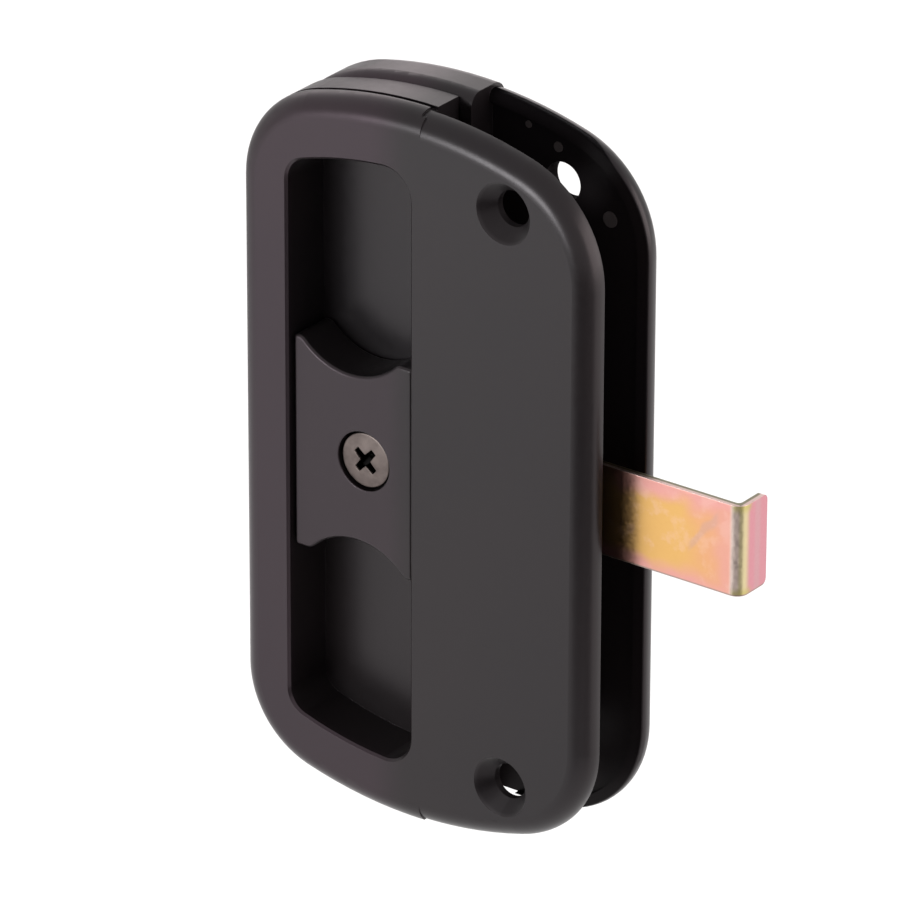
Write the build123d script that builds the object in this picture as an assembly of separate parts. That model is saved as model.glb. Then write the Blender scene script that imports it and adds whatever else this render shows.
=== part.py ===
from build123d import *
from math import asin, tan
import os

# Sliding screen door latch and pull: two moulded halves clamp the edge of a door stile,
# and a thumb slide on each side carries a steel latch arm up and down between them.
# Millimetres. The origin is midway between the two mounting screws, on the plane where the
# front half seats against the stile. +X points to the latch arm, +Y to the rear half, +Z up.

# Plate outline
screw_spacing = 82.55
screw_to_latch_edge = 13.9
plate_width = 57.1
crown_height = 104.5
arch_radius = 64.5
arch_offset = 1.2
front_pull_corner = 14.0
rear_pull_corner = 17.5
latch_corner = 16.0
front_arch_drop = 0.75
front_shell_drop = 1.05
rear_shell_drop = 0.5
rear_latch_overhang = 0.2

# Depths of the two halves and the stile between them
front_rim_depth = 3.3
stile_gap = 9.0
rear_rim_depth = 3.4
seam_behind_floor = 0.4
plate_wall = 1.9
rear_plate_wall = 2.6
rim_wall = 1.7
block_wall = 2.4
front_edge_radius = 3.0
front_back_edge = 0.25
rear_edge_radius = 2.2
rear_rim_edge = 1.0
seam_edge_radius = 1.9
rim_groove_width = 0.7
rim_groove_depth = 0.45
rear_block_overhang = 2.0

# Witness notch where the block meets the thin shell
notch_width = 0.7
notch_depth = 0.6

# Notch in the rear shell's lower edge, which shows through the lower screw hole
edge_notch_width = 6.5
edge_notch_height = 2.4

# Pull pocket
pull_rim_width = 8.2
pocket_width = 20.1
arch_rim_width = 9.25
pocket_depth = 8.0
pocket_floor = 1.5
pocket_wall = 1.6
pocket_pull_corner = 3.4
pocket_latch_corner = 4.2
pocket_lip = 0.35
tub_clearance = 0.25

# Mounting screw holes
screw_hole_diameter = 5.0
countersink_diameter = 8.5
countersink_depth = 2.3
screw_boss_diameter = 10.0
rear_hole_diameter = 5.5

# Square locating pegs between the halves
peg_width = 2.6
peg_engagement = 2.6
peg_boss_width = 5.0
peg_clearance = 0.2
peg_end_clearance = 0.3

# Thumb slides
slide_rest = -0.6
slide_travel = 6.0
slide_height = 30.7
slide_waist = 23.9
hollow_offset = 0.6
hollow_shoulder = 1.35
shoulder_blend = 0.7
slide_corner_radius = 0.5
slide_side_clearance = 0.35
slide_face_recess = 0.95
slide_edge = 0.3
slide_wall = 1.7
slide_face_wall = 2.4
slide_rib = 1.5
running_clearance = 0.3

# Latch arm
arm_height = 12.9
arm_rise = 0.75
arm_thickness = 1.0
arm_reach = 19.3
arm_bend_radius = 0.6
tab_depth = 5.8
tab_corner_radius = 0.9
arm_base_inset = 2.0
arm_channel_clearance = 0.1

# Thumb screw
screw_offset = 1.8
screw_head_diameter = 7.9
screw_head_height = 2.1
screw_head_recess = 0.5
screw_recess_diameter = 8.45
screw_head_edge = 0.5
screw_shank_diameter = 4.0
screw_shank_length = 10.4
screw_shank_clearance = 0.15
screw_thread_clearance = 0.05
cross_length = 4.0
cross_width = 0.95
cross_depth = 1.3
cross_angle = 48.0

# Rear boss and friction spring
boss_diameter = 5.4
spring_space = 1.1
spring_thickness = 0.35
spring_width = 9.0
spring_length = 20.0
spring_hole_clearance = 0.3
spring_touch = 0.05

# Places worked out from the sizes above
latch_edge = screw_to_latch_edge
pull_edge = latch_edge - plate_width
plate_mid = (latch_edge + pull_edge) / 2
arch_mid = plate_mid - arch_offset
crown = crown_height / 2
arch_centre = crown - arch_radius
front_face = -front_rim_depth
rear_seat = stile_gap
rear_face = stile_gap + rear_rim_depth
pocket_pull_side = pull_edge + pull_rim_width
pocket_latch_side = pocket_pull_side + pocket_width
pocket_mid = (pocket_pull_side + pocket_latch_side) / 2
block_end = pocket_latch_side + pocket_wall
rear_block_end = block_end + rear_block_overhang
floor_front = front_face + pocket_depth
floor_back = floor_front + pocket_floor
seam_depth = floor_front + seam_behind_floor
arm_back = floor_front - running_clearance
arm_front = arm_back - arm_thickness
screw_x = pocket_mid + screw_offset
slide_face = front_face + slide_face_recess
rear_slide_face = rear_face - slide_face_recess
rear_slide_inner = floor_back + spring_space
arm_mid = slide_rest + arm_rise
window_half = arm_height / 2 + slide_travel + running_clearance
boss_slot_half = boss_diameter / 2 + slide_travel + running_clearance
slide_width = pocket_width - 2 * slide_side_clearance
hollow_half = slide_width / 2 - hollow_shoulder - hollow_offset
hollow_depth = (slide_height - slide_waist) / 2
hollow_radius = (hollow_half**2 + hollow_depth**2) / (2 * hollow_depth)
hollow_centre = slide_waist / 2 + hollow_radius
shoulder_turn = asin(hollow_half / hollow_radius)
shoulder_radius = shoulder_blend / tan(shoulder_turn / 2)
tall = 2 * crown_height


def facing(y):
    """Plane across the depth at y: sketch x is X, sketch y is Z."""
    return Plane(origin=(0, y, 0), x_dir=(1, 0, 0), z_dir=(0, -1, 0))


def slab(sketch, y_front, y_back):
    """The sketch made solid between two depths."""
    return extrude(facing(y_back) * sketch, amount=y_back - y_front)


def block(x_low, x_high, y_front, y_back, z_low, z_high):
    """Rectangular block between six limits."""
    size = Box(x_high - x_low, y_back - y_front, z_high - z_low)
    return Pos((x_low + x_high) / 2, (y_front + y_back) / 2, (z_low + z_high) / 2) * size


def post(x, z, diameter, y_front, y_back):
    """Round post along the depth."""
    return slab(Pos(x, z) * Circle(diameter / 2), y_front, y_back)


def square_post(x, z, width, y_front, y_back):
    """Square post along the depth."""
    return slab(Pos(x, z) * Rectangle(width, width), y_front, y_back)


def arched_outline(low_x, high_x, radius, low_corner, high_corner):
    """Upright sides under a crowned arch, mirrored at the bottom, with rounded corners.
    Every arch has the same centre, so all of them are parallel."""
    sides = Pos((low_x + high_x) / 2, 0) * Rectangle(high_x - low_x, tall)
    upper = Pos(arch_mid, arch_centre) * Circle(radius)
    lower = Pos(arch_mid, -arch_centre) * Circle(radius)
    outline = sides & upper & lower
    outline = fillet(outline.vertices().sort_by(Axis.X)[:2], low_corner)
    return fillet(outline.vertices().sort_by(Axis.X)[-2:], high_corner)


def plate_outline(pull_corner, latch_side, drop, inset):
    """Outline of a plate. The drop lowers its arch alone, and the inset moves every side in."""
    return arched_outline(
        pull_edge + inset,
        latch_side - inset,
        arch_radius - drop - inset,
        pull_corner - inset,
        latch_corner - inset,
    )


def front_outline(drop=front_arch_drop, inset=0.0):
    """Outline of the front half."""
    return plate_outline(front_pull_corner, latch_edge, drop, inset)


def rear_outline(drop=0.0, inset=0.0):
    """Outline of the rear half, which stands proud of the front half at its arches and latch side."""
    return plate_outline(rear_pull_corner, latch_edge + rear_latch_overhang, drop, inset)


def pocket_outline(grow=0.0):
    """Outline of the pull pocket, with its arches parallel to the plate's."""
    return arched_outline(
        pocket_pull_side - grow,
        pocket_latch_side + grow,
        arch_radius - arch_rim_width + grow,
        pocket_pull_corner + grow,
        pocket_latch_corner + grow,
    )


def slide_outline(inset=0.0):
    """Face of a thumb slide: a rectangle with a finger hollow in its top and bottom edge."""
    face = Rectangle(slide_width - 2 * inset, slide_height - 2 * inset)
    hollow = Circle(hollow_radius + inset)
    face -= Pos(-hollow_offset, hollow_centre) * hollow
    face -= Pos(hollow_offset, -hollow_centre) * hollow
    return Pos(pocket_mid, slide_rest) * face


def slide_face_outline():
    """The same outline with its side corners rounded and its hollows blended at the shoulders."""
    face = slide_outline()
    hollow_reach = hollow_half + hollow_offset + 0.01
    shoulders = face.vertices().filter_by(lambda corner: abs(corner.X - pocket_mid) < hollow_reach)
    face = fillet(shoulders, shoulder_radius)
    corners = face.vertices().group_by(lambda corner: round(abs(corner.X - pocket_mid), 3))[-1]
    return fillet(corners, slide_corner_radius)


def left_of(x):
    """Everything on the pull side of x."""
    return block(x - 2 * plate_width, x, -tall, tall, -tall, tall)


def right_of(x):
    """Everything on the latch side of x."""
    return block(x, x + 2 * plate_width, -tall, tall, -tall, tall)


def rounded_front(solid, radius):
    """Round the edges of the frontmost face."""
    return fillet(solid.edges().group_by(Axis.Y)[0], radius)


def rounded_back(solid, radius):
    """Round the edges of the rearmost face."""
    return fillet(solid.edges().group_by(Axis.Y)[-1], radius)


def broken_front(solid, size):
    """Chamfer the edges of the frontmost face."""
    return chamfer(solid.edges().group_by(Axis.Y)[0], size)


def broken_back(solid, size):
    """Chamfer the edges of the rearmost face."""
    return chamfer(solid.edges().group_by(Axis.Y)[-1], size)


def pocket_edges(solid, y):
    """Edges of the pocket's mouth at a depth."""
    mouth = pocket_outline(grow=0.01).bounding_box()
    edges = solid.edges().filter_by(lambda edge: abs(edge.center().Y - y) < 0.001)
    edges = edges.filter_by(lambda edge: mouth.min.X <= edge.center().X <= mouth.max.X)
    return edges.filter_by(lambda edge: mouth.min.Y <= edge.center().Z <= mouth.max.Y)


def peg_spots():
    """Peg places in the middle of the hollow rim: above, below and beside the pocket."""
    rim_middle = arch_radius - arch_rim_width / 2
    rise = (rim_middle**2 - (pocket_mid - arch_mid) ** 2) ** 0.5
    top = arch_centre + rise
    return [(pocket_mid, top), (pocket_mid, -top), (pull_edge + pull_rim_width / 2, 0.0)]


def front_housing():
    """Inside half: thin shell over the stile, deep block at the pull side, and the pocket tub."""
    hollow_front = front_face + plate_wall
    # Thin shell over the stile
    shell = slab(front_outline(drop=front_shell_drop), front_face, 0)
    shell = broken_back(rounded_front(shell, front_edge_radius), front_back_edge)
    recess = slab(front_outline(drop=front_shell_drop, inset=rim_wall), hollow_front, 0)
    shell = (shell - (recess & right_of(block_end))) & right_of(pocket_latch_side)
    # Deep block at the pull side, hollow between its wall and the pocket's
    deep = rounded_front(slab(front_outline(), front_face, seam_depth), front_edge_radius)
    ring = slab(front_outline(), 0, rim_groove_width)
    deep -= ring - slab(front_outline(inset=rim_groove_depth), 0, rim_groove_width)
    hollow = slab(front_outline(inset=block_wall), hollow_front, seam_depth) & left_of(pocket_latch_side)
    hollow -= slab(pocket_outline(grow=pocket_wall), hollow_front, seam_depth)
    deep -= hollow
    # Notch where the block ends
    notch = slab(front_outline(), front_face, 0) - slab(front_outline(inset=notch_depth), front_face, 0)
    deep -= notch & right_of(block_end - notch_width)
    body = (deep & left_of(block_end)) + shell
    # Pocket tub, which reaches past the seam into the rear half
    body += slab(pocket_outline(grow=pocket_wall), seam_depth, floor_back)
    body -= slab(pocket_outline(), front_face, floor_front)
    body = chamfer(pocket_edges(body, front_face), pocket_lip)
    # Slot for the rear slide's boss and window for the latch arm
    slot = SlotOverall(2 * boss_slot_half, boss_diameter + 2 * running_clearance, rotation=90)
    body -= slab(Pos(screw_x, 0) * slot, floor_front, floor_back)
    window_front = arm_front - running_clearance
    window = block(pocket_latch_side - 1, block_end + 1, window_front, floor_front, -window_half, window_half)
    body -= Pos(0, 0, arm_rise) * window
    # Countersunk screw holes in bosses that reach the stile
    for z in (screw_spacing / 2, -screw_spacing / 2):
        body += post(0, z, screw_boss_diameter, hollow_front, 0)
        body -= post(0, z, screw_hole_diameter, front_face, 0)
        cone = Cone(screw_hole_diameter / 2, countersink_diameter / 2, countersink_depth)
        place = Plane(origin=(0, front_face + countersink_depth / 2, z), z_dir=(0, -1, 0))
        body -= place * cone
    # Sockets for the locating pegs
    for x, z in peg_spots():
        body += square_post(x, z, peg_boss_width, hollow_front, seam_depth)
        socket_front = seam_depth - peg_engagement - peg_end_clearance
        body -= square_post(x, z, peg_width + 2 * peg_clearance, socket_front, seam_depth)
    return body


def rear_housing():
    """Outside half: thin shell behind the stile, block wall back to the seam, and a pull pocket
    whose floor is the front half's tub."""
    hollow_back = rear_face - rear_plate_wall
    shell = rounded_back(slab(rear_outline(drop=rear_shell_drop), rear_seat, rear_face), rear_edge_radius)
    shell = rounded_front(shell, rear_rim_edge)
    recess = slab(rear_outline(drop=rear_shell_drop, inset=rim_wall), rear_seat, hollow_back)
    shell = (shell - (recess & right_of(rear_block_end))) & right_of(pocket_latch_side)
    deep = rounded_back(slab(rear_outline(), seam_depth, rear_face), rear_edge_radius)
    deep = rounded_front(deep, seam_edge_radius) & left_of(rear_block_end)
    tub_room = slab(rear_outline(inset=block_wall), seam_depth, floor_back)
    deep -= tub_room & left_of(block_end + tub_clearance)
    hollow = slab(rear_outline(inset=block_wall), floor_back, hollow_back) & left_of(pocket_latch_side)
    deep -= hollow - slab(pocket_outline(grow=pocket_wall), floor_back, hollow_back)
    body = deep + shell
    notch_top = edge_notch_height - crown + rear_shell_drop
    body -= block(rear_block_end, rear_block_end + edge_notch_width, rear_seat, rear_face, -tall, notch_top)
    body -= slab(pocket_outline(), floor_back, rear_face)
    body = chamfer(pocket_edges(body, rear_face), pocket_lip)
    for z in (screw_spacing / 2, -screw_spacing / 2):
        body -= post(0, z, rear_hole_diameter, rear_seat, rear_face)
    for x, z in peg_spots():
        boss = square_post(x, z, peg_boss_width, seam_depth, hollow_back)
        body += boss - slab(pocket_outline(grow=pocket_wall + tub_clearance), seam_depth, floor_back)
        body += square_post(x, z, peg_width, seam_depth - peg_engagement, seam_depth)
    return body


def front_thumb_slide():
    """Inside thumb piece: hollow moulding with a screw boss, and a channel that holds the arm."""
    slide_back = arm_back - arm_channel_clearance
    body = broken_front(slab(slide_face_outline(), slide_face, slide_back), slide_edge)
    hollow_front = slide_face + slide_face_wall
    hollow = slab(slide_outline(inset=slide_wall), hollow_front, slide_back)
    hollow -= post(screw_x, slide_rest, screw_recess_diameter + 2 * slide_wall, hollow_front, slide_back)
    for side in (-1, 1):
        rib_z = arm_mid + side * (arm_height / 2 - slide_rib / 2)
        rib_low, rib_high = rib_z - slide_rib / 2, rib_z + slide_rib / 2
        hollow -= block(pocket_pull_side, pocket_latch_side, hollow_front, slide_back, rib_low, rib_high)
    body -= hollow
    channel_half = arm_height / 2 + arm_channel_clearance
    channel_low, channel_high = arm_mid - channel_half, arm_mid + channel_half
    channel_start = pocket_pull_side + arm_base_inset - arm_channel_clearance
    body -= block(channel_start, pocket_latch_side, arm_front, slide_back, channel_low, channel_high)
    seat = slide_face + screw_head_recess + screw_head_height
    body -= post(screw_x, slide_rest, screw_recess_diameter, slide_face, seat)
    body -= post(screw_x, slide_rest, screw_shank_diameter + 2 * screw_shank_clearance, seat, slide_back)
    return body


def rear_thumb_slide():
    """Outside thumb piece: finger plate with a boss that passes the slot and meets the arm."""
    body = broken_back(slab(slide_face_outline(), rear_slide_inner, rear_slide_face), slide_edge)
    body += post(screw_x, slide_rest, boss_diameter, arm_back, rear_slide_inner)
    thread_end = slide_face + screw_head_recess + screw_head_height + screw_shank_length + running_clearance
    body -= post(screw_x, slide_rest, screw_shank_diameter + 2 * screw_thread_clearance, arm_back, thread_end)
    return body


def latch_arm():
    """Flat steel strip whose end is bent back into a tab."""
    start = pocket_pull_side + arm_base_inset
    end = latch_edge + arm_reach
    low, high = arm_mid - arm_height / 2, arm_mid + arm_height / 2
    body = block(start, end, arm_front, arm_back, low, high)
    body += block(end - arm_thickness, end, arm_front, arm_front + tab_depth, low, high)
    corner = body.edges().filter_by(Axis.Z).sort_by(lambda edge: edge.center().X - edge.center().Y)
    body = fillet(corner[-1], arm_bend_radius + arm_thickness)
    inner = body.edges().filter_by(Axis.Z).filter_by(
        lambda edge: abs(edge.center().X - (end - arm_thickness)) < 0.001
        and abs(edge.center().Y - arm_back) < 0.001
    )
    body = fillet(inner, arm_bend_radius)
    tab_ends = body.edges().filter_by(Axis.X).group_by(Axis.Y)[-1]
    body = fillet(tab_ends, tab_corner_radius)
    body -= post(screw_x, slide_rest, screw_shank_diameter + 2 * screw_shank_clearance, arm_front, arm_back)
    return body


def slide_screw():
    """Pan head screw with a cross recess, which ties the two slides and the arm together."""
    top = slide_face + screw_head_recess
    seat = top + screw_head_height
    head = broken_front(post(screw_x, slide_rest, screw_head_diameter, top, seat), screw_head_edge)
    shank = post(screw_x, slide_rest, screw_shank_diameter, seat, seat + screw_shank_length)
    body = head + shank
    cross = Rectangle(cross_length, cross_width) + Rectangle(cross_width, cross_length)
    cross = Pos(screw_x, slide_rest) * Rot(0, 0, cross_angle) * cross
    return body - slab(cross, top, top + cross_depth)


def friction_spring():
    """Bowed strip that bears on the tub's floor and keeps the slides where they are put."""
    half = spring_length / 2
    middle_front = rear_slide_inner - spring_thickness
    end_front = floor_back + spring_touch
    outer = ThreePointArc((-half, end_front), (0, middle_front), (half, end_front))
    inner = Pos(0, spring_thickness) * outer
    ends = [Line(outer @ 0, inner @ 0), Line(outer @ 1, inner @ 1)]
    profile = make_face([outer, inner] + ends)
    side = Plane(origin=(screw_x - spring_width / 2, 0, slide_rest), x_dir=(0, 0, -1), z_dir=(1, 0, 0))
    strip = extrude(side * profile, amount=spring_width)
    hole = boss_diameter + 2 * spring_hole_clearance
    return strip - post(screw_x, slide_rest, hole, floor_back, rear_slide_inner + spring_thickness)


nodes = {
    "front_housing": front_housing(),
    "rear_housing": rear_housing(),
    "front_thumb_slide": front_thumb_slide(),
    "rear_thumb_slide": rear_thumb_slide(),
    "latch_arm": latch_arm(),
    "slide_screw": slide_screw(),
    "friction_spring": friction_spring(),
}

os.makedirs("parts", exist_ok=True)
for name, solid in nodes.items():
    export_step(solid, f"parts/{name}.step")
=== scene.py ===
import math

import bpy
from mathutils import Matrix, Vector


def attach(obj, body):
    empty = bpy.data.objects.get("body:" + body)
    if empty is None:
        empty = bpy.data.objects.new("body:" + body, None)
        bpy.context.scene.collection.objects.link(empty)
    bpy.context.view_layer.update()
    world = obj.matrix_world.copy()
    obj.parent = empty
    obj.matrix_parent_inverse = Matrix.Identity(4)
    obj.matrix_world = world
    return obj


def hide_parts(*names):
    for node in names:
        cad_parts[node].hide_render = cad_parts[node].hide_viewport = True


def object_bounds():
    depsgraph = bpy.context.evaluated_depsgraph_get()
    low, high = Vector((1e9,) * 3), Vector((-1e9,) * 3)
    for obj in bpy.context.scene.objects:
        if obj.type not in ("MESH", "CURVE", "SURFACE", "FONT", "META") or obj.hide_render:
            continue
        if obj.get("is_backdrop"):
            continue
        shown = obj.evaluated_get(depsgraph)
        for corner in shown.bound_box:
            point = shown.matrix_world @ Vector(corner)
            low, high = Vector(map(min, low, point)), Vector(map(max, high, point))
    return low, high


# Sliding screen door latch and pull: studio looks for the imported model, in metres and degrees
# The front faces -Y, the latch side is at +X and the pull is at -X
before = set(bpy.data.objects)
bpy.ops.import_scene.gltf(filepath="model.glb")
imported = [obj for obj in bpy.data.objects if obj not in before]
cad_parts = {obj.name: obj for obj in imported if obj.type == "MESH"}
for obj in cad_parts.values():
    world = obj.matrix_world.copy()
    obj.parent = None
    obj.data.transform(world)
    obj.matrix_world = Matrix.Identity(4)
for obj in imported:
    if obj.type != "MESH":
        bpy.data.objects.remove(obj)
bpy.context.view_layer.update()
print("frame loaded")

noiseSpan = (0.35, 0.65)  # the part of a noise's range that is spread over 0 to 1
noiseRoughness = 0.55
bevelSamples = 6


# Helpers for node trees
def addNode(tree, kind, **settings):
    node = tree.nodes.new(kind)
    for name, value in settings.items():
        setattr(node, name, value)
    return node


def link(tree, source, target):
    tree.links.new(source, target)


def feed(tree, value, target):  # a number is set on the socket, and another node's output is linked
    if isinstance(value, (int, float)):
        target.default_value = value
    else:
        link(tree, value, target)


def newMaterial(name):
    material = bpy.data.materials.new(name)
    material.use_nodes = True
    tree = material.node_tree
    tree.nodes.clear()
    output = addNode(tree, "ShaderNodeOutputMaterial")
    shader = addNode(tree, "ShaderNodeBsdfPrincipled")
    link(tree, shader.outputs["BSDF"], output.inputs["Surface"])
    return material, tree, shader


def newGroup(name, inputs, outputs):
    group = bpy.data.node_groups.new(name, "ShaderNodeTree")
    for label, kind, value in inputs:
        socket = group.interface.new_socket(name=label, in_out="INPUT", socket_type=kind)
        socket.default_value = value
    for label, kind in outputs:
        group.interface.new_socket(name=label, in_out="OUTPUT", socket_type=kind)
    entry = addNode(group, "NodeGroupInput")
    leave = addNode(group, "NodeGroupOutput")
    return group, entry, leave


def addMath(tree, operation, first, second=0.0):
    node = addNode(tree, "ShaderNodeMath", operation=operation)
    feed(tree, first, node.inputs[0])
    feed(tree, second, node.inputs[1])
    return node.outputs["Value"]


def allOf(tree, *masks):  # the product of several masks or shares
    product = masks[0]
    for mask in masks[1:]:
        product = addMath(tree, "MULTIPLY", product, mask)
    return product


def addNoise(tree, vector, scale, detail=2.0):
    node = addNode(tree, "ShaderNodeTexNoise")
    node.inputs["Detail"].default_value = detail
    node.inputs["Roughness"].default_value = noiseRoughness
    link(tree, vector, node.inputs["Vector"])
    feed(tree, scale, node.inputs["Scale"])
    return node.outputs["Fac"]


def mapRange(tree, value, low, high, toLow, toHigh):
    node = addNode(tree, "ShaderNodeMapRange")
    link(tree, value, node.inputs["Value"])
    node.inputs["From Min"].default_value = low
    node.inputs["From Max"].default_value = high
    node.inputs["To Min"].default_value = toLow
    node.inputs["To Max"].default_value = toHigh
    return node.outputs["Result"]


def smoothStep(tree, value, low, high):  # falls instead of rising where low is the larger
    node = addNode(tree, "ShaderNodeMapRange", interpolation_type="SMOOTHSTEP")
    link(tree, value, node.inputs["Value"])
    node.inputs["From Min"].default_value = low
    node.inputs["From Max"].default_value = high
    return node.outputs["Result"]


def mixColours(tree, factor, first, second):  # sockets 6 and 7 of a Mix node are its colours
    node = addNode(tree, "ShaderNodeMix", data_type="RGBA")
    link(tree, factor, node.inputs["Factor"])
    for socket, value in ((node.inputs[6], first), (node.inputs[7], second)):
        if isinstance(value, tuple):
            socket.default_value = (*value, 1.0)
        else:
            link(tree, value, socket)
    return node.outputs[2]


def readPlace(tree):
    place = addNode(tree, "ShaderNodeTexCoord").outputs["Object"]
    split = addNode(tree, "ShaderNodeSeparateXYZ")
    link(tree, place, split.inputs["Vector"])
    return place, split.outputs["X"], split.outputs["Y"], split.outputs["Z"]


def addSoftEdge(tree, radius):
    node = addNode(tree, "ShaderNodeBevel", samples=bevelSamples)
    feed(tree, radius, node.inputs["Radius"])
    return node.outputs["Normal"]


# Moulded surface: drifting tone, fine grain and softened edges, shared by all plastic
mouldedSpec = {
    "driftScale": 28.0,
    "speckScale": 900.0,
}


def makeMouldedGroup(spec):
    inputs = [
        ("Grain Scale", "NodeSocketFloat", 4000.0),
        ("Grain Height", "NodeSocketFloat", 0.00001),
        ("Edge Radius", "NodeSocketFloat", 0.0003),
    ]
    outputs = [("Drift", "NodeSocketFloat"), ("Speck", "NodeSocketFloat"), ("Normal", "NodeSocketVector")]
    group, entry, leave = newGroup("mouldedSurface", inputs, outputs)
    place = addNode(group, "ShaderNodeTexCoord").outputs["Object"]
    drift = addNoise(group, place, spec["driftScale"])
    speck = addNoise(group, place, spec["speckScale"])
    grain = addNoise(group, place, entry.outputs["Grain Scale"])
    bump = addNode(group, "ShaderNodeBump")
    link(group, entry.outputs["Grain Height"], bump.inputs["Distance"])
    link(group, grain, bump.inputs["Height"])
    link(group, addSoftEdge(group, entry.outputs["Edge Radius"]), bump.inputs["Normal"])
    link(group, mapRange(group, drift, *noiseSpan, 0.0, 1.0), leave.inputs["Drift"])
    link(group, mapRange(group, speck, *noiseSpan, 0.0, 1.0), leave.inputs["Speck"])
    link(group, bump.outputs["Normal"], leave.inputs["Normal"])
    return group


mouldedGroup = makeMouldedGroup(mouldedSpec)

# Housing only: the screw sinks read shallower, and the rear half's inner side reads as a flat land. Painted
# shade: the mirror level drops on that land, on the rear half's inner floor and deep in the sinks
sinkSpec = {
    "radius": 0.0042,
    "fromMiddle": 0.041275,  # each screw axis, up and down
    "turn": 0.4,  # share of the way that the shading turns to the front
    "shade": 0.5,
    "shadeFrom": (-0.0032, -0.0028),
}
rimSpec = {
    "behind": 0.0089,  # the rear half's inner side, to the right of its block
    "rightOf": -0.0112,
    "landEnd": 0.0092,
    "landFade": 0.0003,
    "archGain": 0.0009,  # the land is wider along the arch
    "archFacing": (0.1, 0.35),
    "archUntil": (0.009, 0.004),
    "floorEnd": 0.00985,
    "floorFacing": -0.9,
}


def maskSinks(tree, spec, across, depth, height):
    rise = addMath(tree, "SUBTRACT", addMath(tree, "ABSOLUTE", height), spec["fromMiddle"])
    riseSquare = addMath(tree, "MULTIPLY", rise, rise)
    acrossSquare = addMath(tree, "MULTIPLY", across, across)
    reach = addMath(tree, "SQRT", addMath(tree, "ADD", riseSquare, acrossSquare))
    inside = addMath(tree, "LESS_THAN", reach, spec["radius"])
    turn = addMath(tree, "MULTIPLY", inside, spec["turn"])
    pit = allOf(tree, inside, smoothStep(tree, depth, *spec["shadeFrom"]), spec["shade"])
    return turn, pit


def maskRim(tree, spec, across, depth):
    facing = addNode(tree, "ShaderNodeSeparateXYZ")
    link(tree, addNode(tree, "ShaderNodeNewGeometry").outputs["True Normal"], facing.inputs["Vector"])
    behind = addMath(tree, "GREATER_THAN", depth, spec["behind"])
    behind = addMath(tree, "MULTIPLY", behind, addMath(tree, "GREATER_THAN", across, spec["rightOf"]))
    arch = smoothStep(tree, facing.outputs["Z"], *spec["archFacing"])
    arch = allOf(tree, arch, smoothStep(tree, across, *spec["archUntil"]), spec["archGain"])
    landEnd = addMath(tree, "ADD", arch, spec["landEnd"])
    land = smoothStep(tree, addMath(tree, "SUBTRACT", depth, landEnd), spec["landFade"], 0.0)
    land = addMath(tree, "MULTIPLY", land, behind)
    flat = addMath(tree, "LESS_THAN", facing.outputs["Y"], spec["floorFacing"])
    floor = allOf(tree, flat, addMath(tree, "LESS_THAN", depth, spec["floorEnd"]), behind)
    return land, floor


def faceFront(tree, share, normal):  # sockets 4 and 5 of a Mix node are its vectors
    blend = addNode(tree, "ShaderNodeMix", data_type="VECTOR")
    link(tree, share, blend.inputs["Factor"])
    link(tree, normal, blend.inputs[4])
    blend.inputs[5].default_value = (0.0, -1.0, 0.0)
    even = addNode(tree, "ShaderNodeVectorMath", operation="NORMALIZE")
    link(tree, blend.outputs[1], even.inputs[0])
    return even.outputs["Vector"]


# Mirror tint by place: one tint at the pull, another at the latch side and in the pocket; the weaker, cooler
# tint there is painted reflection, standing in for how the light falls on those places.
# It stays in the material, because it feeds Specular Tint
def maskEdgeTint(tree, spec):
    _, across, depth, height = readPlace(tree)
    inPocket = allOf(
        tree,
        smoothStep(tree, depth, *spec["pocketFrom"]),
        addMath(tree, "GREATER_THAN", across, spec["pocketLeft"]),
        addMath(tree, "LESS_THAN", addMath(tree, "ABSOLUTE", height), spec["pocketHalf"]),
        addMath(tree, "LESS_THAN", depth, spec["pocketBack"]),
    )
    return addMath(tree, "MAXIMUM", smoothStep(tree, across, *spec["edgeFrom"]), inPocket)


def makePlastic(name, spec):
    material, tree, shader = newMaterial(name)
    surface = addNode(tree, "ShaderNodeGroup", node_tree=mouldedGroup)
    surface.inputs["Grain Scale"].default_value = spec["grainScale"]
    surface.inputs["Grain Height"].default_value = spec["grainHeight"]
    surface.inputs["Edge Radius"].default_value = spec["edgeRadius"]
    colour = mixColours(tree, surface.outputs["Drift"], spec["coolTone"], spec["warmTone"])
    link(tree, colour, shader.inputs["Base Color"])
    roughness = mapRange(tree, surface.outputs["Speck"], 0.0, 1.0, *spec["roughness"])
    link(tree, roughness, shader.inputs["Roughness"])
    shader.inputs["IOR"].default_value = spec["ior"]
    if "pullTint" in spec:
        tint = mixColours(tree, maskEdgeTint(tree, spec), spec["pullTint"], spec["edgeTint"])
        link(tree, tint, shader.inputs["Specular Tint"])
    else:
        shader.inputs["Specular Tint"].default_value = (*spec["edgeTint"], 1.0)
    normal = surface.outputs["Normal"]
    if "shadeLevel" in spec:
        _, across, depth, height = readPlace(tree)
        turn, pit = maskSinks(tree, sinkSpec, across, depth, height)
        land, floor = maskRim(tree, rimSpec, across, depth)
        normal = faceFront(tree, addMath(tree, "MAXIMUM", turn, land), normal)
        # painted shade: a lower mirror level on the land, the inner floor and deep in the sinks
        shade = addMath(tree, "MAXIMUM", addMath(tree, "MAXIMUM", floor, land), pit)
        level = mapRange(tree, shade, 0.0, 1.0, spec["level"], spec["shadeLevel"])
        link(tree, level, shader.inputs["Specular IOR Level"])
    link(tree, normal, shader.inputs["Normal"])
    return material


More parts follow.
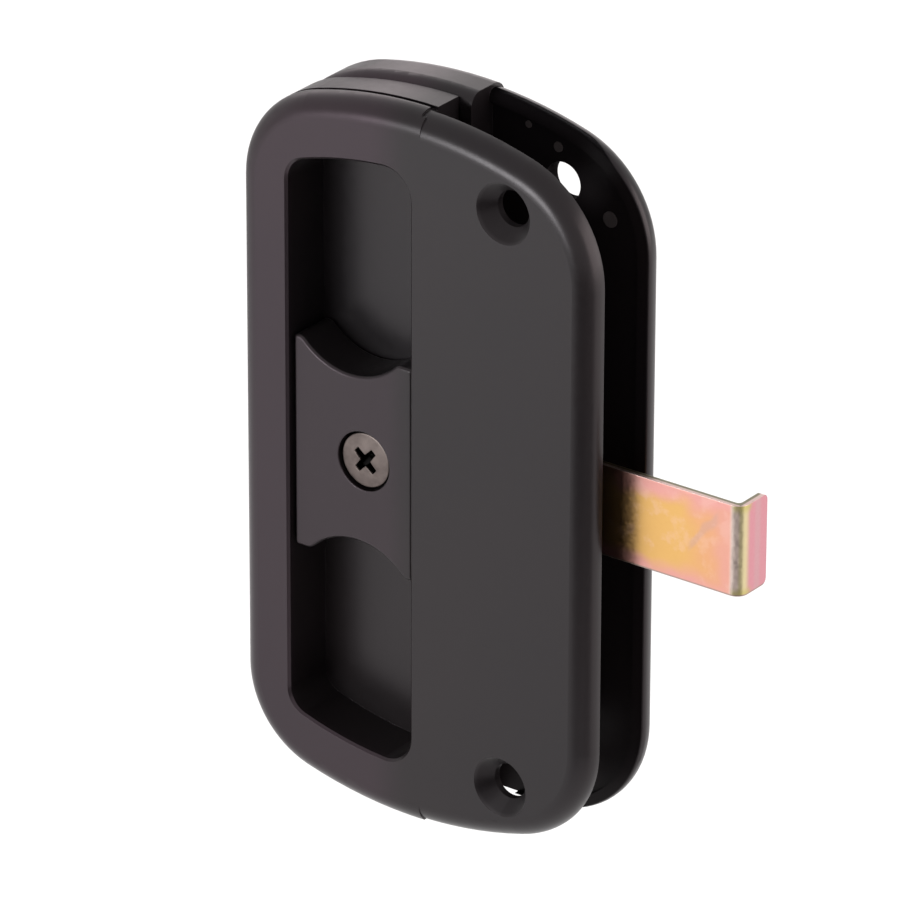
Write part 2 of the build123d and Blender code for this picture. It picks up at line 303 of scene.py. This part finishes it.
darkPlastic = {
    # painted reflection: the pull reflects more and warmer than the latch side and the pocket
    "pullTint": (0.80, 0.60, 0.70),
    "edgeTint": (0.53, 0.475, 0.495),
    "edgeFrom": (-0.022, -0.015),
    "pocketFrom": (-0.0027, -0.0018),
    "pocketBack": 0.0062,
    "pocketLeft": -0.0368,
    "pocketHalf": 0.0462,  # half the pocket's height
    "grainScale": 5200.0,
    "ior": 1.52,
}
housingPlastic = {
    **darkPlastic,
    "coolTone": (0.0045, 0.0036, 0.0041),
    "warmTone": (0.0058, 0.0042, 0.0045),
    "level": 0.5,
    "shadeLevel": 0.1,
    "roughness": (0.295, 0.325),
    "grainHeight": 0.000004,
    "edgeRadius": 0.00005,
}
slidePlastic = {
    **darkPlastic,
    "coolTone": (0.0045, 0.0036, 0.0040),
    "warmTone": (0.0058, 0.0042, 0.0044),
    "roughness": (0.28, 0.36),
    "grainHeight": 0.000002,
    "edgeRadius": 0.0003,
}
# painted light: the pads are coloured lighter than the housing
litPadPlastic = {
    "coolTone": (0.024, 0.020, 0.020),
    "warmTone": (0.032, 0.026, 0.026),
    "edgeTint": (0.53, 0.475, 0.495),
    "roughness": (0.42, 0.52),
    "grainScale": 5200.0,
    "grainHeight": 0.000004,
    "edgeRadius": 0.00005,
    "ior": 1.52,
}

# Yellow zinc plate: its hue drifts from the middle of the strip to the edges, the bend and the tab; the cut
# faces also carry a painted highlight and painted shade, and the stretch inside the housing a painted shadow
zincPlate = {
    "middle": 0.00015,  # the strip's middle height
    "cloudScale": 120.0,
    "cloudReach": 0.008,
    "gold": (0.585, 0.335, 0.115),
    "goldUntil": (0.0232, 0.0290),
    "orange": (0.595, 0.298, 0.152),
    "pink": (0.595, 0.278, 0.248),
    "pinkFrom": (0.0036, 0.0068),
    "endFrom": (0.0283, 0.0312),
    "endShare": 0.75,
    "violet": (0.44, 0.27, 0.25),  # one slanted streak
    "streakAt": 0.0263,
    "streakWidth": (0.0012, 0.0003),
    "streakFrom": (0.0246, 0.0256),
    "streakUntil": (0.0300, 0.0290),
    "streakShare": 0.45,
    "mottle": (0.66, 0.42, 0.36),
    "mottleScale": 380.0,
    "mottleDetail": 4.0,
    "mottleFrom": (0.50, 0.66),
    "mottleShare": 0.25,
    "pale": (0.60, 0.475, 0.425),
    "paleFrom": (0.0312, 0.0319),
    "green": (0.50, 0.43, 0.25),
    "bendFrom": (0.0324, 0.0328),
    "tabPink": (0.53, 0.23, 0.265),
    "tabFrom": (0.0044, 0.0056),
    "band": (0.45, 0.32, 0.32),  # along the middle of the tab
    "bandAt": 0.0071,
    "bandWidth": (0.0010, 0.0002),
    "bandShare": 0.4,
    "corner": (0.42, 0.36, 0.12),  # the bend's top and bottom ends
    "cornerFrom": (0.0050, 0.0062),
    "cornerAlong": (0.0314, 0.0322),
    "cornerUntil": (0.0062, 0.0050),
    "cornerShare": 0.75,
    "lowEdge": (0.30, 0.22, 0.19),
    "lowFrom": (-0.00602, -0.0062),
    "rimHighlight": (0.50, 0.37, 0.34),  # the cut faces: a painted highlight in front and painted shade behind
    "rimShade": (0.15, 0.14, 0.085),
    "rimFrom": (0.00635, 0.00643),
    "rimSplit": (0.0004, 0.0006),
    "frontAt": 0.0034,
    "endAt": 0.0332,
    "dark": (0.10, 0.055, 0.035),  # painted shadow on the stretch inside the housing
    "shadowUntil": (0.0152, 0.0180),
    "shadowShare": 0.6,
    "roughness": (0.30, 0.42),
    "grainScale": 1800.0,
    "grainSpan": (0.3, 0.7),
    "grainHeight": 0.000004,
    "edgeRadius": 0.00015,
}


def colourStrip(tree, spec, place, along, up):
    clouds = addMath(tree, "SUBTRACT", addNoise(tree, place, spec["cloudScale"]), 0.5)
    drift = addMath(tree, "MULTIPLY", clouds, spec["cloudReach"])
    across = addMath(tree, "ADD", addMath(tree, "ABSOLUTE", up), drift)
    far = addMath(tree, "ADD", along, drift)
    colour = mixColours(tree, smoothStep(tree, far, *spec["goldUntil"]), spec["gold"], spec["orange"])
    end = addMath(tree, "MULTIPLY", smoothStep(tree, far, *spec["endFrom"]), spec["endShare"])
    pinkness = addMath(tree, "MAXIMUM", smoothStep(tree, across, *spec["pinkFrom"]), end)
    colour = mixColours(tree, pinkness, colour, spec["pink"])
    slant = addMath(tree, "SUBTRACT", addMath(tree, "SUBTRACT", far, spec["streakAt"]), up)
    streak = allOf(
        tree,
        smoothStep(tree, addMath(tree, "ABSOLUTE", slant), *spec["streakWidth"]),
        smoothStep(tree, along, *spec["streakFrom"]),
        smoothStep(tree, along, *spec["streakUntil"]),
        spec["streakShare"],
    )
    colour = mixColours(tree, streak, colour, spec["violet"])
    patches = addNoise(tree, place, spec["mottleScale"], detail=spec["mottleDetail"])
    mottle = addMath(tree, "MULTIPLY", smoothStep(tree, patches, *spec["mottleFrom"]), spec["mottleShare"])
    return mixColours(tree, mottle, colour, spec["mottle"])


def colourTab(tree, spec, colour, along, depth, up):
    colour = mixColours(tree, smoothStep(tree, along, *spec["paleFrom"]), colour, spec["pale"])
    colour = mixColours(tree, smoothStep(tree, along, *spec["bendFrom"]), colour, spec["green"])
    colour = mixColours(tree, smoothStep(tree, depth, *spec["tabFrom"]), colour, spec["tabPink"])
    aside = addMath(tree, "ABSOLUTE", addMath(tree, "SUBTRACT", depth, spec["bandAt"]))
    band = addMath(tree, "MULTIPLY", smoothStep(tree, aside, *spec["bandWidth"]), spec["bandShare"])
    colour = mixColours(tree, band, colour, spec["band"])
    corner = allOf(
        tree,
        smoothStep(tree, addMath(tree, "ABSOLUTE", up), *spec["cornerFrom"]),
        smoothStep(tree, along, *spec["cornerAlong"]),
        smoothStep(tree, depth, *spec["cornerUntil"]),
        spec["cornerShare"],
    )
    return mixColours(tree, corner, colour, spec["corner"])


def colourEdges(tree, spec, colour, along, depth, height, up):
    colour = mixColours(tree, smoothStep(tree, height, *spec["lowFrom"]), colour, spec["lowEdge"])
    behind = addMath(tree, "SUBTRACT", depth, spec["frontAt"])
    behind = addMath(tree, "MINIMUM", behind, addMath(tree, "SUBTRACT", spec["endAt"], along))
    # painted shade behind a painted highlight on the cut faces
    dark = smoothStep(tree, behind, *spec["rimSplit"])
    rimColour = mixColours(tree, dark, spec["rimHighlight"], spec["rimShade"])
    rim = smoothStep(tree, addMath(tree, "ABSOLUTE", up), *spec["rimFrom"])
    colour = mixColours(tree, rim, colour, rimColour)
    # painted shadow where the strip runs into the housing
    housingShadow = mapRange(tree, smoothStep(tree, along, *spec["shadowUntil"]), 0.0, 1.0, spec["shadowShare"], 0.0)
    return mixColours(tree, housingShadow, colour, spec["dark"])


def makeZincPlate(name, spec):
    material, tree, shader = newMaterial(name)
    place, along, depth, height = readPlace(tree)
    up = addMath(tree, "SUBTRACT", height, spec["middle"])
    colour = colourStrip(tree, spec, place, along, up)
    colour = colourTab(tree, spec, colour, along, depth, up)
    colour = colourEdges(tree, spec, colour, along, depth, height, up)
    link(tree, colour, shader.inputs["Base Color"])
    shader.inputs["Metallic"].default_value = 1.0
    grain = addNoise(tree, place, spec["grainScale"])
    link(tree, mapRange(tree, grain, *spec["grainSpan"], *spec["roughness"]), shader.inputs["Roughness"])
    bump = addNode(tree, "ShaderNodeBump")
    bump.inputs["Distance"].default_value = spec["grainHeight"]
    link(tree, grain, bump.inputs["Height"])
    link(tree, addSoftEdge(tree, spec["edgeRadius"]), bump.inputs["Normal"])
    link(tree, bump.outputs["Normal"], shader.inputs["Normal"])
    return material


screwSteel = {
    "toneScale": 500.0,
    "toneDetail": 3.0,
    "darkTone": (0.086, 0.068, 0.064),
    "lightTone": (0.128, 0.102, 0.095),
    # painted shade deep in the cross recess
    "recessShade": (0.002, 0.0018, 0.0018),
    "recessShadeFrom": (-0.00185, -0.0016),
    "roughness": (0.34, 0.48),
    "edgeRadius": 0.0002,
}
springSteel = {
    "toneScale": 500.0,
    "toneDetail": 3.0,
    "darkTone": (0.38, 0.38, 0.39),
    "lightTone": (0.5, 0.5, 0.51),
    "roughness": (0.25, 0.35),
    "edgeRadius": 0.0001,
}


def makeSteel(name, spec):
    material, tree, shader = newMaterial(name)
    place, _, depth, _ = readPlace(tree)
    mottle = addNoise(tree, place, spec["toneScale"], detail=spec["toneDetail"])
    tone = mapRange(tree, mottle, *noiseSpan, 0.0, 1.0)
    colour = mixColours(tree, tone, spec["darkTone"], spec["lightTone"])
    # painted shade: darker deeper in the cross recess
    if "recessShadeFrom" in spec:
        recess = smoothStep(tree, depth, *spec["recessShadeFrom"])
        colour = mixColours(tree, recess, colour, spec["recessShade"])
    link(tree, colour, shader.inputs["Base Color"])
    shader.inputs["Metallic"].default_value = 1.0
    link(tree, mapRange(tree, tone, 0.0, 1.0, *spec["roughness"]), shader.inputs["Roughness"])
    link(tree, addSoftEdge(tree, spec["edgeRadius"]), shader.inputs["Normal"])
    return material


finishes = {
    "housing": makePlastic("housingPlastic", housingPlastic),
    "slide": makePlastic("slidePlastic", slidePlastic),
    "pad": makePlastic("litPadPlastic", litPadPlastic),
    "zinc": makeZincPlate("zincPlate", zincPlate),
    "screw": makeSteel("screwSteel", screwSteel),
    "spring": makeSteel("springSteel", springSteel),
}
nodeFinishes = {
    "front_housing": "housing",
    "rear_housing": "housing",
    "front_thumb_slide": "slide",
    "rear_thumb_slide": "slide",
    "latch_arm": "zinc",
    "slide_screw": "screw",
    "friction_spring": "spring",
}
for nodeName, finishName in nodeFinishes.items():
    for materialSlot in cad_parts[nodeName].material_slots:
        materialSlot.material = finishes[finishName]
print("materials set")

# Lit pads: small round pads on the rear half's inside, coloured lighter than the housing as painted light
# where light falls through the upper screw hole
padSpec = {
    "level": 0.0098,  # the face of the rear half's inside
    "height": 0.00012,
    "sides": 40,
    "spots": [  # across, up and radius of each pad
        (-0.00077, 0.04598, 0.0007),
        (0.00753, 0.03795, 0.0011),
        (-0.0055, 0.04796, 0.0005),
    ],
}


def makePads(spec):
    for number, (across, up, radius) in enumerate(spec["spots"], 1):
        bpy.ops.mesh.primitive_cylinder_add(
            vertices=spec["sides"],
            radius=radius,
            depth=spec["height"],
            location=(across, spec["level"] - spec["height"] / 2, up),
            rotation=(math.pi / 2, 0, 0),
        )
        pad = bpy.context.object
        pad.name = f"litPad{number}"
        pad.data.materials.append(finishes["pad"])
        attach(pad, "housing")


makePads(padSpec)
print("ejector pads made")

# Pan head screw with a cross recess: a domed grid over a plain shank
screwSpec = {
    "centre": (-0.02315, -0.0006),  # across and up
    "face": -0.00205,
    "headRadius": 0.0039,
    "headHeight": 0.0021,
    "domeDrop": 0.00015,
    "edgeRound": 0.0002,
    "shankRadius": 0.002,
    "shankLength": 0.0104,
    "armHalf": 0.00062,  # half the width of a recess arm, at the middle
    "armLength": 0.0020,
    "armTaper": 0.00018,
    "wallSlope": 14.0,
    "depth": (0.0019, 0.0013),  # of the recess, in the middle and at an arm's end
    "angle": 48.0,
    "rings": 84,
    "sectors": 240,
}


def headDrop(spec, radius):
    drop = spec["domeDrop"] * (radius / spec["headRadius"]) ** 2
    past = radius - (spec["headRadius"] - spec["edgeRound"])
    if past > 0:
        share = min(past / spec["edgeRound"], 1.0)
        drop += spec["edgeRound"] * (1 - math.sqrt(max(1 - share**2, 0.0)))
    return drop


def crossDepth(spec, across, up):
    deepest, shallow = spec["depth"]
    depth = 0.0
    for along, side in ((abs(across), abs(up)), (abs(up), abs(across))):
        half = spec["armHalf"] - spec["armTaper"] * along / spec["armLength"]
        inside = min(half - side, spec["armLength"] - along)
        share = min(along / spec["armLength"], 1.0)
        floorDepth = deepest + (shallow - deepest) * share
        depth = max(depth, min(max(inside, 0.0) * spec["wallSlope"], floorDepth))
    return depth


# Points: the head's middle and rings, the two shoulder rings, the shank's end ring and its tip
def screwSpots(spec):
    centreX, centreZ = spec["centre"]
    turn = math.radians(spec["angle"])
    angles = [2 * math.pi * sector / spec["sectors"] for sector in range(spec["sectors"])]
    spots = [(centreX, spec["face"] + crossDepth(spec, 0.0, 0.0), centreZ)]
    for ring in range(1, spec["rings"] + 1):
        radius = spec["headRadius"] * ring / spec["rings"]
        for angle in angles:
            across, up = radius * math.cos(angle), radius * math.sin(angle)
            along = across * math.cos(turn) + up * math.sin(turn)
            side = up * math.cos(turn) - across * math.sin(turn)
            depth = headDrop(spec, radius) + crossDepth(spec, along, side)
            spots.append((centreX + across, spec["face"] + depth, centreZ + up))
    seat = spec["face"] + spec["headHeight"]
    tip = seat + spec["shankLength"]
    head, shank = spec["headRadius"], spec["shankRadius"]
    for radius, level in ((head, seat), (shank, seat), (shank, tip)):
        for angle in angles:
            spots.append((centreX + radius * math.cos(angle), level, centreZ + radius * math.sin(angle)))
    spots.append((centreX, tip, centreZ))
    return spots


def screwFaces(spec, last):
    sectors = spec["sectors"]
    faces = [(0, 1 + sector, 1 + (sector + 1) % sectors) for sector in range(sectors)]
    for ring in range(spec["rings"] + 2):
        inner, outer = 1 + ring * sectors, 1 + (ring + 1) * sectors
        for sector in range(sectors):
            following = (sector + 1) % sectors
            faces.append((inner + sector, outer + sector, outer + following, inner + following))
    rim = last - sectors
    faces += [(rim + sector, last, rim + (sector + 1) % sectors) for sector in range(sectors)]
    return faces


def makeScrew(spec):
    spots = screwSpots(spec)
    mesh = bpy.data.meshes.new("slideScrewLook")
    mesh.from_pydata(spots, [], screwFaces(spec, len(spots) - 1))
    mesh.update()
    mesh.validate()
    screw = bpy.data.objects.new("slideScrewLook", mesh)
    bpy.context.collection.objects.link(screw)
    mesh.materials.append(finishes["screw"])
    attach(screw, "slide")
    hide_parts("slide_screw")


makeScrew(screwSpec)
print("screw made")

# Camera solved from the photo
cameraSpec = {
    "azimuth": 36.533,
    "elevation": 25.284,
    "roll": 0.155,
    "distance": 1.05097,
    "focalLength": 323.71,  # millimetres, as the sensor's width is
    "sensorWidth": 36.0,
    "clip": (0.05, 20.0),
    "target": (-0.00721, -0.00481, 0.00652),
}


def directionFrom(azimuth, elevation):
    around, above = math.radians(azimuth), math.radians(elevation)
    level = math.cos(above)
    return Vector((math.sin(around) * level, -math.cos(around) * level, math.sin(above)))


def makeCamera(spec):
    data = bpy.data.cameras.new("photoCamera")
    data.lens = spec["focalLength"]
    data.sensor_width = spec["sensorWidth"]
    data.clip_start, data.clip_end = spec["clip"]
    camera = bpy.data.objects.new("photoCamera", data)
    bpy.context.collection.objects.link(camera)
    back = directionFrom(spec["azimuth"], spec["elevation"])
    turn = (-back).to_track_quat("-Z", "Y").to_matrix()
    turn = turn @ Matrix.Rotation(math.radians(spec["roll"]), 3, "Z")
    place = Matrix.Translation(Vector(spec["target"]) + back * spec["distance"])
    camera.matrix_world = place @ turn.to_4x4()
    bpy.context.scene.camera = camera


makeCamera(cameraSpec)
print("camera set")

# Soft boxes, each aimed at the part from a direction
softBoxes = {
    "frontBox": {
        "azimuth": -19,
        "elevation": 4,
        "distance": 0.8,
        "width": 0.34,
        "height": 0.26,
        "glow": 18.0,  # strength of the box's face, whatever its size
        "colour": (0.94, 1.0, 1.0),
    },
    "rightBox": {
        "azimuth": 105,
        "elevation": 14,
        "distance": 1.0,
        "width": 1.1,
        "height": 0.8,
        "glow": 3.3,
        "colour": (1.0, 0.93, 0.90),
    },
    "backBox": {
        "azimuth": -141,
        "elevation": 15,
        "distance": 1.2,
        "width": 1.3,
        "height": 0.6,
        "glow": 0.9,
        "colour": (1.0, 0.87, 0.87),
    },
}


def makeSoftBox(name, spec):
    data = bpy.data.lights.new(name, "AREA")
    data.shape = "RECTANGLE"
    data.size = spec["width"]
    data.size_y = spec["height"]
    data.energy = spec["glow"] * spec["width"] * spec["height"] * math.pi
    data.color = spec["colour"]
    light = bpy.data.objects.new(name, data)
    bpy.context.collection.objects.link(light)
    back = directionFrom(spec["azimuth"], spec["elevation"])
    light.location = back * spec["distance"]
    light.rotation_euler = (-back).to_track_quat("-Z", "Y").to_euler()
    light.visible_camera = False


for boxName, boxSpec in softBoxes.items():
    makeSoftBox(boxName, boxSpec)
print("soft boxes made")


# Floor and cards are plain and matt
def makeMatt(name, grey, roughness):
    material, _, shader = newMaterial(name)
    shader.inputs["Base Color"].default_value = (grey, grey, grey, 1.0)
    shader.inputs["Roughness"].default_value = roughness
    return material


floorSpec = {
    "drop": 0.12,  # below the part
    "size": 6.0,
    "grey": 0.84,
    "roughness": 0.9,
}


def makeFloor(spec):
    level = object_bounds()[0].z - spec["drop"]
    bpy.ops.mesh.primitive_plane_add(size=spec["size"], location=(0, 0, level))
    floor = bpy.context.object
    floor.name = "studioFloor"
    floor.data.materials.append(makeMatt("paleFloor", spec["grey"], spec["roughness"]))
    floor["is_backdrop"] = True


makeFloor(floorSpec)

# Dark cards round the part, which glossy surfaces mirror and nothing else meets
cards = {
    "frontCard": {"azimuth": 16, "reach": 0.27, "width": 0.47, "height": 0.16, "low": -0.185, "grey": 0.03},
    "sideCard": {"azimuth": 66, "reach": 0.25, "width": 0.16, "height": 0.14, "low": -0.172, "grey": 0.2},
    "backCard": {"azimuth": -109, "reach": 0.27, "width": 0.287, "height": 0.22, "low": -0.11, "grey": 0.4},
}


def makeCard(name, spec):
    middle = spec["low"] + spec["height"] / 2
    place = directionFrom(spec["azimuth"], 0) * spec["reach"] + Vector((0, 0, middle))
    bpy.ops.mesh.primitive_plane_add(size=1.0, location=place)
    card = bpy.context.object
    card.name = name
    card.scale = (spec["width"], spec["height"], 1.0)
    card.rotation_euler = (math.pi / 2, 0, math.radians(spec["azimuth"]))
    card.data.materials.append(makeMatt(name, spec["grey"], 1.0))
    card.visible_camera = False
    card.visible_diffuse = False
    card.visible_shadow = False
    card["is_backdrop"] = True


for cardName, cardSpec in cards.items():
    makeCard(cardName, cardSpec)

worldSpec = {
    "colour": (1.0, 1.0, 1.0),
    "strength": 1.0,
}


def makeWorld(spec):
    world = bpy.data.worlds.new("studioWorld")
    bpy.context.scene.world = world
    world.use_nodes = True
    tree = world.node_tree
    tree.nodes.clear()
    output = addNode(tree, "ShaderNodeOutputWorld")
    background = addNode(tree, "ShaderNodeBackground")
    background.inputs["Color"].default_value = (*spec["colour"], 1.0)
    background.inputs["Strength"].default_value = spec["strength"]
    link(tree, background.outputs["Background"], output.inputs["Surface"])


makeWorld(worldSpec)
bpy.context.scene.view_settings.view_transform = "Standard"
print("stage set")
